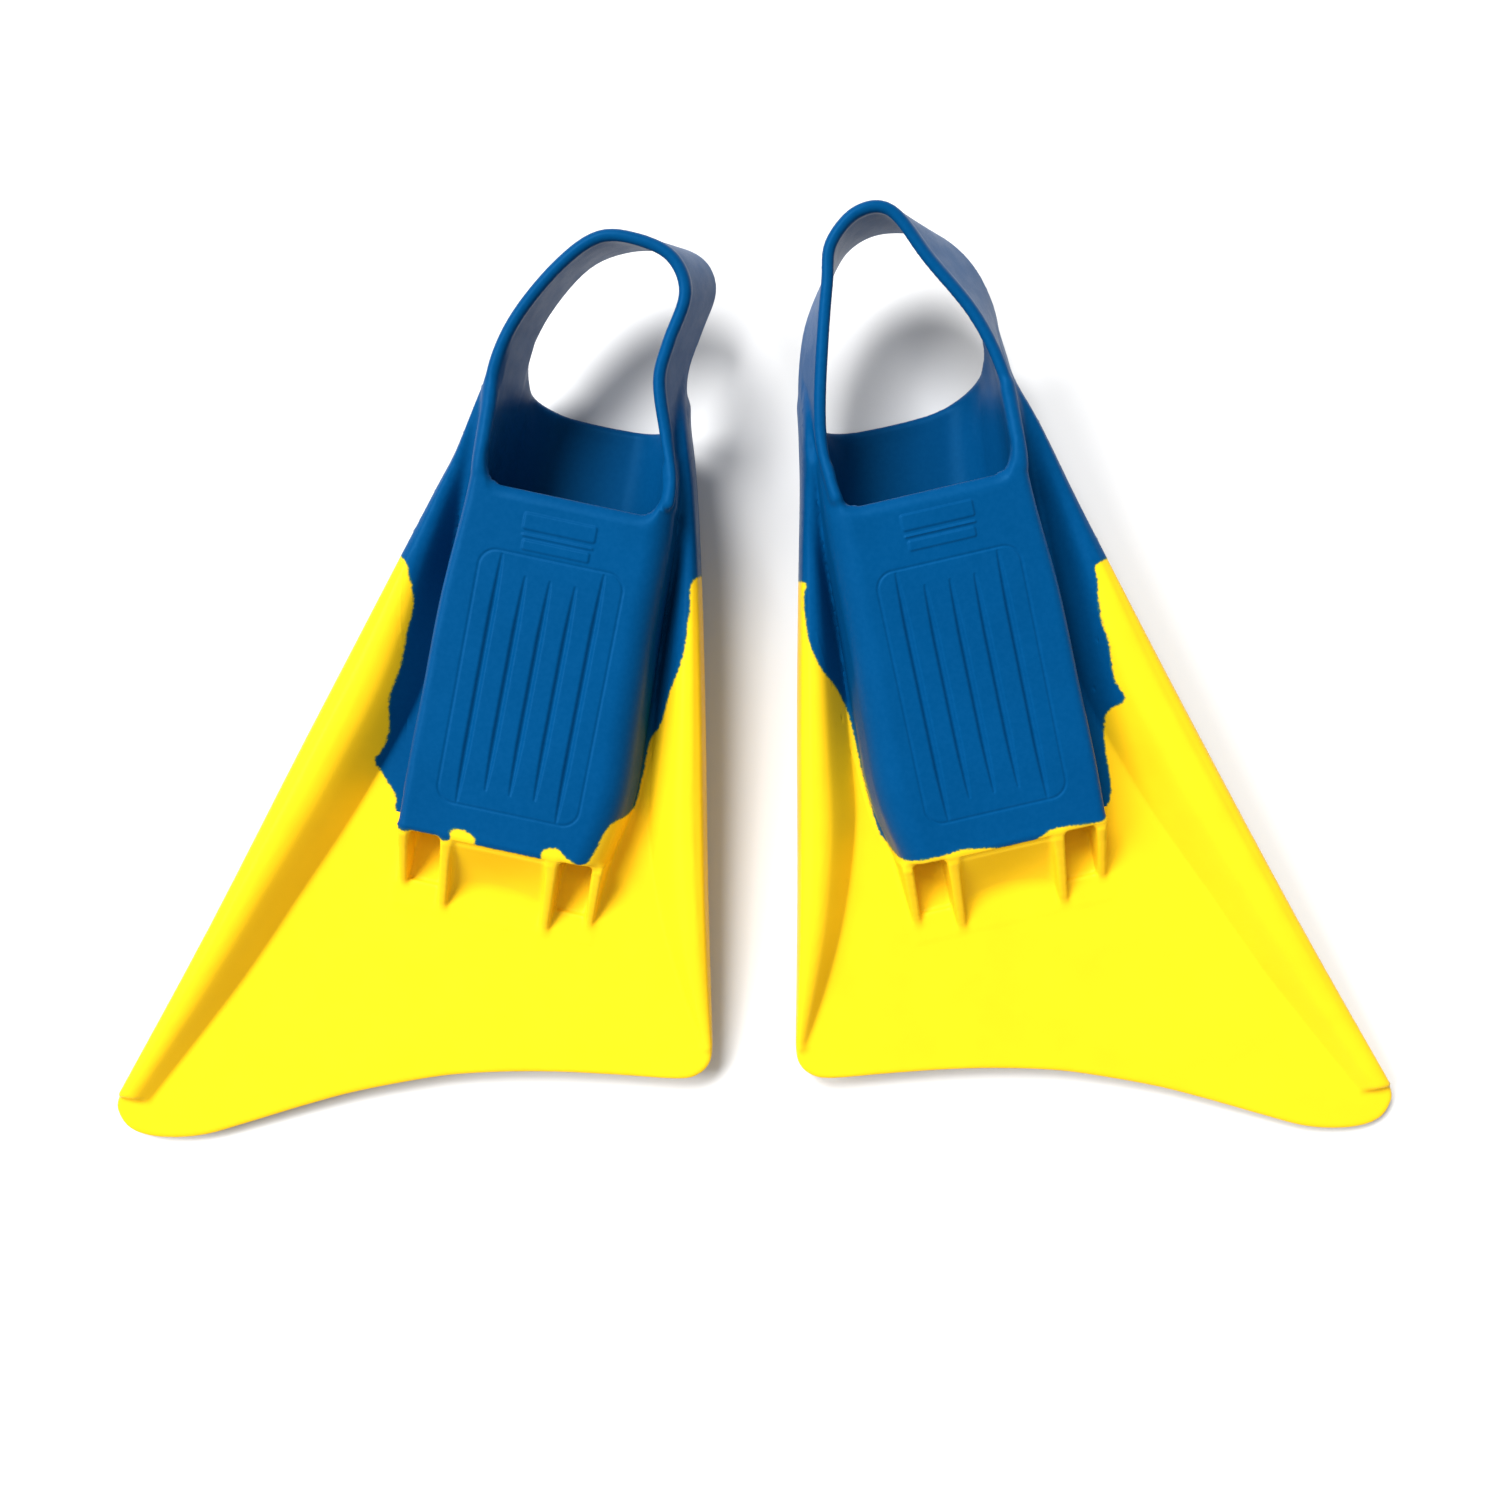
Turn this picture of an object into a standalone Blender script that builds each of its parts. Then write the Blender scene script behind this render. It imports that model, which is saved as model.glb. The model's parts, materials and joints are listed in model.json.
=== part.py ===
"""A pair of bodyboard swim fins, lying side by side with their soles up.

Each fin is modelled in its own frame, in millimetres, and placed by an empty:
  u  across the foot, + towards the long outer rail
  v  along the foot, + towards the heel, 0 at the toe edge of the sole
  w  out of the web, + towards the sole, 0 at the middle of the web's thickness
A left fin is the mirror image of a right fin in u, apart from the set of its heel strap.
"""

import math

import bmesh
import bpy
from mathutils import Vector

MM = 0.001
GAP = 0.3  # clearance between neighbouring mouldings
FLEX_GAP = 1.2  # clearance round the rails where they turn past the root of the web

# Where the fins lie: the web's height at the toe, and its slope up to the heel. The origin is
# under the middle of the pair's box, on the floor.
WEB_HEIGHT = 21.0
WEB_PITCH = math.radians(6)
FIN_PLACES = {
    "left": {"side": -1, "at": (-106.5, -64.0), "yaw": math.radians(-12)},
    "right": {"side": 1, "at": (104.5, -62.5), "yaw": math.radians(13)},
}

# The sole's outer face is one plane, rising from the toe to the lip at the heel end.
SOLE_AT_TOE = 26
SOLE_RISE = 8 / 142
SOLE_LIP_V = 146
SOLE_THICK = 6
WALL = 4.5
INSTEP_THICK = 4
TOE_WALL = 5
INSTEP_EDGE_V = 186

# Pocket sections: v, sole flat from and to, wall feet at the web, instep from and to, instep w.
POCKET_SECTIONS = (
    (0, -34, 39, -46, 42, -34, 31, -18),
    (30, -36, 39.5, -50, 43, -39, 34, -22),
    (60, -36.5, 39, -51, 43.5, -41, 34, -26),
    (100, -36, 38, -50, 43, -39, 32, -31.5),
    (146, -33, 34.5, -47, 39.5, -34, 27, -36.5),
    (186, -31, 32, -43.5, 36.5, -31, 26, -39.5),
)

# The blade's outline and its web.
WEB_THICK = 4
OUTER_EDGE = ((42, 177), (62.3, 105.5), (85, 32), (111.5, -57), (138.5, -139))
TIP_CURVE = ((139, -146), (133.5, -153), (125, -155.3), (113, -154), (99, -149.5))
TRAILING_EDGE = (
    (82, -140.3), (61, -128.5), (42, -118.5), (21, -109.2), (2, -101.8),
    (-20, -95.6), (-43, -90.6), (-68, -86.5), (-93.5, -82.6),
)
INNER_CORNER = ((-101.6, -78.6), (-105, -72.5), (-104.4, -65))
INNER_EDGE = ((-104.4, -65), (-90, -5), (-74, 66), (-62, 117), (-52, 158))

# Rails: v, width in from the blade's edge, top, bottom.
OUTER_RAIL = (
    (-138, 12, 7, -5.5),
    (-82, 22.5, 11.5, -5),
    (-40, 27, 14, -5),
    (10, 31, 16, -5),
    (60, 31, 16.5, -5.5),
    (107, 21, 16, -6),
    (154, 13, 14, -7),
)
INNER_RAIL = (
    (-66, 5, 5, -3),
    (-40, 14, 11, -4.5),
    (-12, 21, 14, -5),
    (24, 25, 15, -5),
    (60, 22, 15.5, -5.5),
    (97, 18, 15.5, -6),
    (134, 13, 15, -6.5),
    (154, 11, 14, -7),
)

# Ribs in front of the toe wall: u, thickness, v of the tip.
DRAIN_RIBS = ((37, 4, -25), (19, 4.5, -32), (-25, 4.5, -33), (-43.5, 5, -26))
RIB_TOP = 23
RAMP_REACH = -27
DRAIN_WINDOW_W = (3.5, 19)

# The blade flexes about an axis just past the rib tips.
BLADE_AXIS_V = -40
WEB_KNUCKLE = 2.4
WEB_KNUCKLE_GAP = 0.4
OUTER_KNUCKLE = 14.3
INNER_KNUCKLE = 11.8
RAIL_KNUCKLE_GAP = 0.8

# The strap swings about an axis through its two roots.
STRAP_AXIS_V = 178
STRAP_AXIS_W = 11
STRAP_NEAR_W = 30
STRAP_FAR_W = -8
STRAP_NEAR_THICK = 6.5
STRAP_FAR_THICK = 4.4
STRAP_KNUCKLE = (STRAP_NEAR_W - STRAP_FAR_W) / 2
STRAP_KNUCKLE_GAP = 1.3

# The middle lines of the strap's two rims, from the outer root over the heel to the inner root.
STRAP_NEAR = {
    "left": (
        (31.5, 157), (31.2, 180), (28.2, 203), (14.5, 230), (-10, 242.5),
        (-29, 232), (-28.8, 205), (-36, 178), (-40, 157),
    ),
    "right": (
        (32.5, 157), (32.2, 180), (25, 211), (8, 246), (-12, 251.5),
        (-21, 240), (-27, 216), (-36, 184), (-40, 157),
    ),
}
STRAP_FAR = {
    "left": (
        (31.5, 157), (30, 180), (30, 203), (15.5, 235), (-13, 251),
        (-37, 244), (-37.4, 216), (-41, 188), (-41, 157),
    ),
    "right": (
        (32.5, 157), (35.5, 184), (41, 217), (27, 249), (1, 255),
        (-24, 244), (-37, 216), (-41.5, 190), (-41, 157),
    ),
}

BLUE = (0.0, 0.13, 0.37, 1)
YELLOW = (1.0, 0.84, 0.02, 1)
RUBBER_ROUGHNESS = 0.55


# ---------------------------------------------------------------- scene and materials


def clear_scene():
    for obj in list(bpy.data.objects):
        bpy.data.objects.remove(obj, do_unlink=True)


def new_collection(name):
    collection = bpy.data.collections.new(name)
    bpy.context.scene.collection.children.link(collection)
    return collection


def rubber(name, colour):
    material = bpy.data.materials.new(name)
    material.use_nodes = True
    shader = material.node_tree.nodes["Principled BSDF"]
    shader.inputs["Base Color"].default_value = colour
    shader.inputs["Roughness"].default_value = RUBBER_ROUGHNESS
    shader.inputs["Metallic"].default_value = 0
    return material


# ---------------------------------------------------------------- outlines


def smooth_line(points, steps=5):
    """A Catmull-Rom curve through the points, with this many pieces between two of them."""
    ends = [points[0], *points, points[-1]]
    line = []
    for before, start, end, after in zip(ends, ends[1:], ends[2:], ends[3:]):
        for step in range(steps):
            t = step / steps
            line.append(
                tuple(
                    0.5
                    * (
                        2 * q
                        + (r - p) * t
                        + (2 * p - 5 * q + 4 * r - s) * t * t
                        + (3 * q - p - 3 * r + s) * t**3
                    )
                    for p, q, r, s in zip(before, start, end, after)
                )
            )
    line.append(tuple(points[-1]))
    return line


def at_v(line, v):
    """The u of a line of (u, v) points at this v."""
    ordered = sorted((point[1], point[0]) for point in line)
    for (v0, u0), (v1, u1) in zip(ordered, ordered[1:]):
        if v <= v1:
            return u0 + (u1 - u0) * (v - v0) / (v1 - v0)
    return ordered[-1][1]


def arc(centre, radius, start_deg, end_deg, pieces=12):
    points = []
    for i in range(pieces + 1):
        angle = math.radians(start_deg + (end_deg - start_deg) * i / pieces)
        points.append((centre[0] + radius * math.cos(angle), centre[1] + radius * math.sin(angle)))
    return points


# ---------------------------------------------------------------- solids in a fin's frame


class Fin:
    """One fin's frame: its empties, its side and its name."""

    def __init__(self, name, parts, cutters, materials):
        place = FIN_PLACES[name]
        self.name = name
        self.side = place["side"]
        self.parts = parts
        self.cutters = cutters
        self.materials = materials
        self.origin = self.empty("fin_frame", None, (0, 0, 0))
        self.origin.location = (place["at"][0] * MM, place["at"][1] * MM, WEB_HEIGHT * MM)
        self.origin.rotation_euler = (WEB_PITCH, 0, place["yaw"])
        self.blade_axis = self.empty("blade_axis", self.origin, (0, BLADE_AXIS_V, 0))
        self.strap_axis = self.empty("strap_axis", self.origin, (0, STRAP_AXIS_V, STRAP_AXIS_W))

    def empty(self, name, parent, at):
        obj = bpy.data.objects.new(f"{self.name}_{name}", None)
        obj.empty_display_size = 0.02
        obj.parent = parent
        obj.location = [value * MM for value in at]
        self.parts.objects.link(obj)
        return obj

    def put(self, name, mesh, parent=None, material=None):
        """Make an object of a mesh in the fin's frame: a part, or a cutter if it has no material."""
        obj = bpy.data.objects.new(f"{self.name}_{name}", mesh)
        obj.parent = parent or self.origin
        if obj.parent is not self.origin:
            obj.location = -obj.parent.location
        if material:
            self.parts.objects.link(obj)
            mesh.materials.append(self.materials[material])
            mesh.shade_smooth()
            mesh.set_sharp_from_angle(angle=math.radians(35))
        else:
            self.cutters.objects.link(obj)
            obj.hide_render = True
            obj.display_type = "WIRE"
        return obj

    def cutter(self, name):
        return self.cutters.objects[f"{self.name}_{name}"]

    def loft(self, name, rings):
        """A closed solid through rings of equally many (u, v, w) points, with flat ends."""
        mesh_data = bmesh.new()
        loops = [
            [mesh_data.verts.new((self.side * u * MM, v * MM, w * MM)) for u, v, w in ring]
            for ring in rings
        ]
        for first, second in zip(loops, loops[1:]):
            for i in range(len(first)):
                j = (i + 1) % len(first)
                mesh_data.faces.new((first[i], first[j], second[j], second[i]))
        mesh_data.faces.new(loops[0])
        mesh_data.faces.new(loops[-1])
        return self.mesh_of(mesh_data, name)

    def prism(self, name, outline, place, low, high):
        """A flat outline of (a, b) points, pushed from low to high; place turns (a, b, c) to (u, v, w)."""
        mesh_data = bmesh.new()
        corners = []
        for a, b in outline:
            u, v, w = place(a, b, low)
            corners.append(mesh_data.verts.new((self.side * u * MM, v * MM, w * MM)))
        face = mesh_data.faces.new(corners)
        u0, v0, w0 = place(0, 0, low)
        u1, v1, w1 = place(0, 0, high)
        push = Vector((self.side * (u1 - u0) * MM, (v1 - v0) * MM, (w1 - w0) * MM))
        copied = bmesh.ops.extrude_face_region(mesh_data, geom=[face])
        moved = [item for item in copied["geom"] if isinstance(item, bmesh.types.BMVert)]
        bmesh.ops.translate(mesh_data, verts=moved, vec=push)
        return self.mesh_of(mesh_data, name)

    def mesh_of(self, mesh_data, name):
        mesh_data.normal_update()
        bmesh.ops.recalc_face_normals(mesh_data, faces=mesh_data.faces)
        mesh = bpy.data.meshes.new(f"{self.name}_{name}")
        mesh_data.to_mesh(mesh)
        mesh_data.free()
        return mesh

    def box(self, name, low, high):
        """A box cutter between two (u, v, w) corners."""
        mesh_data = bmesh.new()
        bmesh.ops.create_cube(mesh_data, size=1)
        for vert in mesh_data.verts:
            u, v, w = (low[i] + (high[i] - low[i]) * (vert.co[i] + 0.5) for i in range(3))
            vert.co = (self.side * u * MM, v * MM, w * MM)
        return self.put(name, self.mesh_of(mesh_data, name))


def in_plan(u, v, w):
    """An outline of (u, v) points, pushed along w."""
    return u, v, w


def in_profile(v, w, u):
    """An outline of (v, w) points, pushed along u."""
    return u, v, w


def cut(obj, cutter, operation="DIFFERENCE"):
    boolean = obj.modifiers.new(cutter.name, "BOOLEAN")
    boolean.operation = operation
    boolean.solver = "EXACT"
    boolean.object = cutter


# ---------------------------------------------------------------- the foot pocket


def sole_w(v):
    return SOLE_AT_TOE + SOLE_RISE * v


def pocket_ring(v, sole_in, sole_out, foot_in, foot_out, instep_in, instep_out, instep_w, inset=0):
    """A pocket section; inset shrinks it by the thickness of the wall all round."""
    wall = WALL * inset
    top = sole_w(v) - SOLE_THICK * inset
    bottom = instep_w + INSTEP_THICK * inset
    inner = foot_in + wall
    outer = foot_out - wall
    shoulder_in = (sole_in + foot_in) / 2
    return [
        (sole_in + wall, v, top),
        (sole_out - 2 - wall / 2, v, top),
        (sole_out - wall, v, top - 2),
        (outer, v, 0),
        (outer - 1.5, v, bottom * 0.45),
        ((outer + instep_out) / 2 - wall / 2, v, bottom * 0.82),
        (instep_out - 4, v, bottom),
        (instep_in + 4, v, bottom),
        ((inner + instep_in) / 2 + wall / 2, v, bottom * 0.82),
        (inner + 1.5, v, bottom * 0.45),
        (inner, v, 0),
        (foot_in + 3 + wall, v, top - 10),
        (shoulder_in - 0.5 + wall, v, top - 2.8),
    ]


def pocket_rings(inset=0, extra=None):
    rings = [pocket_ring(*section, inset=inset) for section in POCKET_SECTIONS]
    if extra:
        rings[0] = [(u, v + extra, w) for u, v, w in rings[0]]
        rings.append([(u, v + 20, w) for u, v, w in rings[-1]])
    return rings


def grown(rings, by):
    """The rings moved out from their middles, for the clearance round a piece."""
    result = []
    for ring in rings:
        middle_u = sum(u for u, _, _ in ring) / len(ring)
        middle_w = sum(w for _, _, w in ring) / len(ring)
        result.append(
            [
                (u + math.copysign(by, u - middle_u), v, w + math.copysign(by, w - middle_w))
                for u, v, w in ring
            ]
        )
    return result


def heel_opening_profile():
    """What is cut away at the heel end, seen from the side: the strap's sockets, then the ears."""
    radius = STRAP_KNUCKLE + STRAP_KNUCKLE_GAP
    socket = arc((STRAP_AXIS_V, STRAP_AXIS_W), radius, 118, 248, pieces=18)
    high = (socket[0][0] - 4, 70)
    return [high, *socket, (177, -20), (182, -30), (INSTEP_EDGE_V - 1, -36), (215, -36), (215, 70)]


def build_pocket(fin):
    pocket = fin.put("foot_pocket", fin.loft("foot_pocket", pocket_rings()), material="blue")
    cavity = fin.put("pocket_cavity", fin.loft("pocket_cavity", pocket_rings(1, TOE_WALL)))
    opening_ring = pocket_ring(*POCKET_SECTIONS[4], inset=1)
    mouth = fin.box(
        "pocket_mouth",
        (opening_ring[-1][0], SOLE_LIP_V, 10),
        (opening_ring[2][0], 215, 70),
    )
    profile = fin.prism("heel_profile", heel_opening_profile(), in_profile, -80, 80)
    cut(pocket, cavity)
    cut(pocket, mouth)
    cut(pocket, fin.put("heel_profile", profile))
    rib_a, rib_b, rib_c, rib_d = DRAIN_RIBS
    for name, outside, inside in (("outer", rib_a, rib_b), ("inner", rib_c, rib_d)):
        window = fin.box(
            f"{name}_drain_window",
            (inside[0] + inside[1] / 2 + 1, -2, DRAIN_WINDOW_W[0]),
            (outside[0] - outside[1] / 2 - 1, TOE_WALL + 3, DRAIN_WINDOW_W[1]),
        )
        cut(pocket, window)
    envelope = fin.put("pocket_envelope", fin.loft("pocket_envelope", grown(pocket_rings(), GAP)))
    return envelope


# ---------------------------------------------------------------- the rails


def rail_rings(sections, edge, sign, grow=0):
    """Rail sections along the blade's edge; sign is +1 for the outer rail and -1 for the inner."""
    rings = []
    for v, width, top, bottom in sections:
        base = at_v(edge, v) + sign * grow
        reach = width + 2 * grow
        high = top + grow
        low = bottom - grow
        across = (
            (0, low * 0.7), (0, high * 0.6), (0.1, high * 0.9), (0.28, high),
            (0.5, high * 0.86), (0.8, high * 0.42), (1, 1.5), (1, low * 0.7), (0.5, low),
        )
        rings.append([(base - sign * reach * share, v, w) for share, w in across])
    rings[0] = [(u, v - grow, w) for u, v, w in rings[0]]
    rings[-1] = [(u, v + grow, w) for u, v, w in rings[-1]]
    return rings


def knuckle_profile(radius):
    """The blade's side of the flex line, from the side: a round bulge on a straight edge."""
    bulge = arc((BLADE_AXIS_V, 0), radius, -90, 90)
    far = BLADE_AXIS_V - 140
    return [(far, -60), (BLADE_AXIS_V, -60), *bulge, (BLADE_AXIS_V, 60), (far, 60)]


def flex_cutter(fin, name, radius):
    profile = fin.prism(name, knuckle_profile(radius), in_profile, -170, 170)
    return fin.put(name, profile)


def build_rail(fin, name, sections, edge, sign, knuckle, envelope):
    rings = rail_rings(sections, edge, sign)
    root = fin.put(f"{name}_rail_root", fin.loft(f"{name}_rail_root", rings), material="yellow")
    cut(root, flex_cutter(fin, f"{name}_socket", knuckle + RAIL_KNUCKLE_GAP))
    cut(root, envelope)
    tip_mesh = fin.loft(f"{name}_rail_tip", rings)
    tip = fin.put(f"{name}_rail_tip", tip_mesh, fin.blade_axis, "yellow")
    cut(tip, flex_cutter(fin, f"{name}_knuckle", knuckle), "INTERSECT")
    for gap, where in ((FLEX_GAP, "root"), (GAP, "tip")):
        clearance = fin.loft(f"{name}_{where}_clearance", rail_rings(sections, edge, sign, gap))
        fin.put(f"{name}_{where}_clearance", clearance)


# ---------------------------------------------------------------- the web, ribs and ramp


def web_outline():
    """The whole blade seen from above, from the outer edge round the tip to the inner edge."""
    outer = list(OUTER_EDGE[1:])
    round_end = smooth_line((OUTER_EDGE[-1], *TIP_CURVE, *TRAILING_EDGE, *INNER_CORNER), 3)
    inner = list(INNER_EDGE[1:-1])
    return [*outer[:-1], *round_end, *inner]


def build_web(fin, envelope):
    half = WEB_THICK / 2
    outline = web_outline()
    root_mesh = fin.prism("blade_root", outline, in_plan, -half, half)
    root = fin.put("blade_root", root_mesh, material="yellow")
    cut(root, envelope)
    cut(root, flex_cutter(fin, "web_socket", WEB_KNUCKLE + WEB_KNUCKLE_GAP))
    blade_mesh = fin.prism("blade_web", outline, in_plan, -half, half)
    blade = fin.put("blade_web", blade_mesh, fin.blade_axis, "yellow")
    cut(blade, flex_cutter(fin, "web_knuckle", WEB_KNUCKLE), "INTERSECT")
    for rail in ("outer", "inner"):
        cut(root, fin.cutter(f"{rail}_root_clearance"))
        cut(blade, fin.cutter(f"{rail}_tip_clearance"))


def build_ribs(fin):
    base = WEB_THICK / 2 + GAP
    for number, (u, thick, tip) in enumerate(DRAIN_RIBS, start=1):
        outline = [
            (-GAP, base), (-GAP, RIB_TOP), (tip * 0.3, RIB_TOP * 0.8),
            (tip * 0.7, RIB_TOP * 0.4), (tip, base + 1), (tip, base),
        ]
        name = f"drain_rib_{number}"
        mesh = fin.prism(name, outline, in_profile, u - thick / 2, u + thick / 2)
        fin.put(name, mesh, material="yellow")


def build_ramp(fin):
    """The scooped toe wall between the two middle ribs."""
    base = WEB_THICK / 2 + GAP
    _, rib_b, rib_c, _ = DRAIN_RIBS
    outline = [
        (-GAP, 15), (-GAP, RIB_TOP - 1), (-6, 15.5), (-12, 10.5), (-18, 6.7),
        (-23, 4), (RAMP_REACH, base + 0.6), (RAMP_REACH, base), (-19, base), (-10, 7),
    ]
    low = rib_c[0] + rib_c[1] / 2 + GAP
    high = rib_b[0] - rib_b[1] / 2 - GAP
    fin.put("toe_ramp", fin.prism("toe_ramp", outline, in_profile, low, high), material="yellow")


# ---------------------------------------------------------------- the heel strap


def strap_rings(fin):
    near = smooth_line(STRAP_NEAR[fin.name])
    far = smooth_line(STRAP_FAR[fin.name])
    rings = []
    for i, ((near_u, near_v), (far_u, far_v)) in enumerate(zip(near, far)):
        back = near[max(i - 1, 0)]
        ahead = near[min(i + 1, len(near) - 1)]
        along = Vector((ahead[0] - back[0], ahead[1] - back[1])).normalized()
        out = Vector((-along.y, along.x)) * -1
        ring = []
        for share, thick in ((0, STRAP_NEAR_THICK), (0.18, STRAP_FAR_THICK), (1, STRAP_FAR_THICK)):
            middle = Vector((near_u + (far_u - near_u) * share, near_v + (far_v - near_v) * share))
            height = STRAP_NEAR_W + (STRAP_FAR_W - STRAP_NEAR_W) * share
            ring.append((middle + out * thick / 2, height))
            ring.insert(0, (middle - out * thick / 2, height))
        rings.append([(point.x, point.y, height) for point, height in ring])
    return rings


def build_strap(fin):
    strap_mesh = fin.loft("heel_strap", strap_rings(fin))
    strap = fin.put("heel_strap", strap_mesh, fin.strap_axis, "blue")
    bulge = arc((STRAP_AXIS_V, STRAP_AXIS_W), STRAP_KNUCKLE, 90, 270, pieces=18)
    outline = [*bulge, (STRAP_AXIS_V, -60), (300, -60), (300, 90), (STRAP_AXIS_V, 90)]
    profile = fin.prism("strap_knuckle", outline, in_profile, -90, 90)
    cut(strap, fin.put("strap_knuckle", profile), "INTERSECT")


# ---------------------------------------------------------------- the pair


def build_fin(name, parts, cutters, materials):
    fin = Fin(name, parts, cutters, materials)
    envelope = build_pocket(fin)
    build_rail(fin, "outer", OUTER_RAIL, OUTER_EDGE, 1, OUTER_KNUCKLE, envelope)
    build_rail(fin, "inner", INNER_RAIL, INNER_EDGE, -1, INNER_KNUCKLE, envelope)
    build_web(fin, envelope)
    build_ribs(fin)
    build_ramp(fin)
    build_strap(fin)


def main():
    clear_scene()
    parts = new_collection("swim_fins")
    cutters = new_collection("cutters")
    materials = {"blue": rubber("blue_rubber", BLUE), "yellow": rubber("yellow_rubber", YELLOW)}
    for name in FIN_PLACES:
        build_fin(name, parts, cutters, materials)


main()
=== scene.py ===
"""Looks of a pair of moulded rubber bodyboard swim fins, lying soles up on a pale floor.

Each fin is one two-colour moulding, so its skin is worked out as one smooth solid in the fin's own
coordinates, in millimetres:
  u  across the foot, + towards the long outer rail
  v  along the foot, + towards the heel, 0 at the toe edge of the sole
  w  out of the web, + towards the sole, 0 at the middle of the web's thickness
The solid is a field that is negative inside. It is parted into two closed pieces, the foot pocket
with its heel strap and the blade, which are shown in place of their CAD solids.
"""

import json
import math

import bmesh
import bpy
import numpy as np
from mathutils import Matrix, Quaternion, Vector


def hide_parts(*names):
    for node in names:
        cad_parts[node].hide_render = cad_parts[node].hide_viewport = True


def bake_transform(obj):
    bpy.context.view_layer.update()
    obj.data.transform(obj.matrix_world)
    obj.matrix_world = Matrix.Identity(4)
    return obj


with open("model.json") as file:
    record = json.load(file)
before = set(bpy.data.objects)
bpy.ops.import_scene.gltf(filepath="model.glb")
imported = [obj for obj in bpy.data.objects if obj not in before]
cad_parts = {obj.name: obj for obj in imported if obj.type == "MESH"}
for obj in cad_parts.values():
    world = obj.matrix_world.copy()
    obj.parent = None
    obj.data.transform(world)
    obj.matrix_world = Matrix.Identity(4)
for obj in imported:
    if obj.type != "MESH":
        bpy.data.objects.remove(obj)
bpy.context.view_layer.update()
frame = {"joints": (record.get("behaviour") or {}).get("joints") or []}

MM = 0.001

# The grid that the solid is worked out on, and how many of its rows along v are worked out at a time.
GRID_STEP = 1.25
GRID_LOW = (-112, -162, -46)
GRID_HIGH = (146, 264, 44)
SLAB = 12

# The finer grid for maps of the plan, and how far it reaches past the other.
MAP_STEP = 0.5
MAP_MARGIN = 2

# The distance for measuring slopes, how near to a surface counts as on it, and the angle in degrees
# past which an edge is shaded as a corner.
PROBE = 0.04
ON_SURFACE = 0.05
CORNER_ANGLE = 60

# The two joint axes, as the CAD has them in the fin's own coordinates.
BLADE_AXIS_V = -40
STRAP_AXIS_V = 178
STRAP_AXIS_W = 11

# Two places along v either side of each of those axes, at which points on the fin's middle line are
# worked out.
BLADE_BEND = (-8, -72)
STRAP_BEND = (160, 198)

# ---------------------------------------------------------------- sizes of the moulding

# The sole: its height at the toe edge and its slope, the v of its toe edge and of its lip, and where
# the slope runs into the level of the opening's rim.
SOLE_AT_TOE = 26
SOLE_RISE = 8 / 142
SOLE_TOE_V = 2.8
SOLE_LIP_V = {"left": 148, "right": 151}
RIM_TOP = 30.2
RIM_RUN_V = (146, 182)

SOLE_THICK = 6
WALL = 4.5
INSTEP_THICK = 4
TOE_WALL = 5

# Pocket sections: v, top of the outer wall, feet of the walls at the web, instep from and to, its w,
# and how far the inner wall leans in. Under the web the walls also come in by INSTEP_TUCK.
POCKET_SECTIONS = (
    (0, 39, -47, 42, -36, 31, -18, 5),
    (30, 39.5, -53, 43, -40, 34, -22, 6),
    (60, 39, -52.5, 43.5, -42, 34, -26, 6),
    (100, 38.5, -50.5, 43, -40, 32, -31.5, 5),
    (146, 35.5, -48, 40, -36, 31, -36.5, 3),
)
HEEL_SECTION = {
    "left": (186, 37.3, -42, 35, -35, 33, -39.5, 6.7),
    "right": (186, 37.8, -45.5, 42, -38, 39, -39.5, 4.2),
}
INSTEP_TUCK = 3

# How round the pocket is, outside and in its cavity: sole to outer wall, sole to inner wall and walls
# to instep; then the walls' bend at the web, the toe edge of the sole, and the cavity's toe end.
POCKET_ROUND = (3, 10, 14)
CAVITY_ROUND = (4, 7, 12)
FLANK_ROUND = 8
TOE_EDGE_ROUND = 1.2
TOE_CAVITY_ROUND = 5

# The fairing under the toe: a point on it and its run, in (v, w), its roundness, and where it ends.
FAIRING_AT = (-30, -2)
FAIRING_RUN = (42, -17)
FAIRING_ROUND = 8
FAIRING_END_V = -32

# The opening behind the lip: how round it is in section and in its corners, and how round its edge is
# on the lip and on the rim. The edge changes over this far behind the lip, and this far in from a wall.
MOUTH_WALL_ROUND = 4
MOUTH_CORNER_ROUND = 10
LIP_ROUND = 8
RIM_ROUND = 2.5
RIM_BEHIND_LIP = 14
RIM_FROM_WALL = (3, 9)

# Where the walls end at the heel: the instep's edge, whose ends bow back, the ears that run up under the
# strap, and how far the ends draw in from there to the strap's near rim. A bow and a reach are given for
# the inner and the outer side, and change from one to the other over HEEL_SIDES_U. Last come the
# roundness of the ends, and of the cavity's edge.
HEEL_EDGE_V = 180.5
HEEL_MIDDLE_U = -3.5
HEEL_HALF = 38
HEEL_BOW = (5, 9)
EAR_HEIGHT = 29
EAR_REACH = (9, 20)
HEEL_DRAW = 26
HEEL_SIDES_U = (-20, 20)
HEEL_END_ROUND = 2.2
CAVITY_EDGE_ROUND = 1.2

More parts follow.
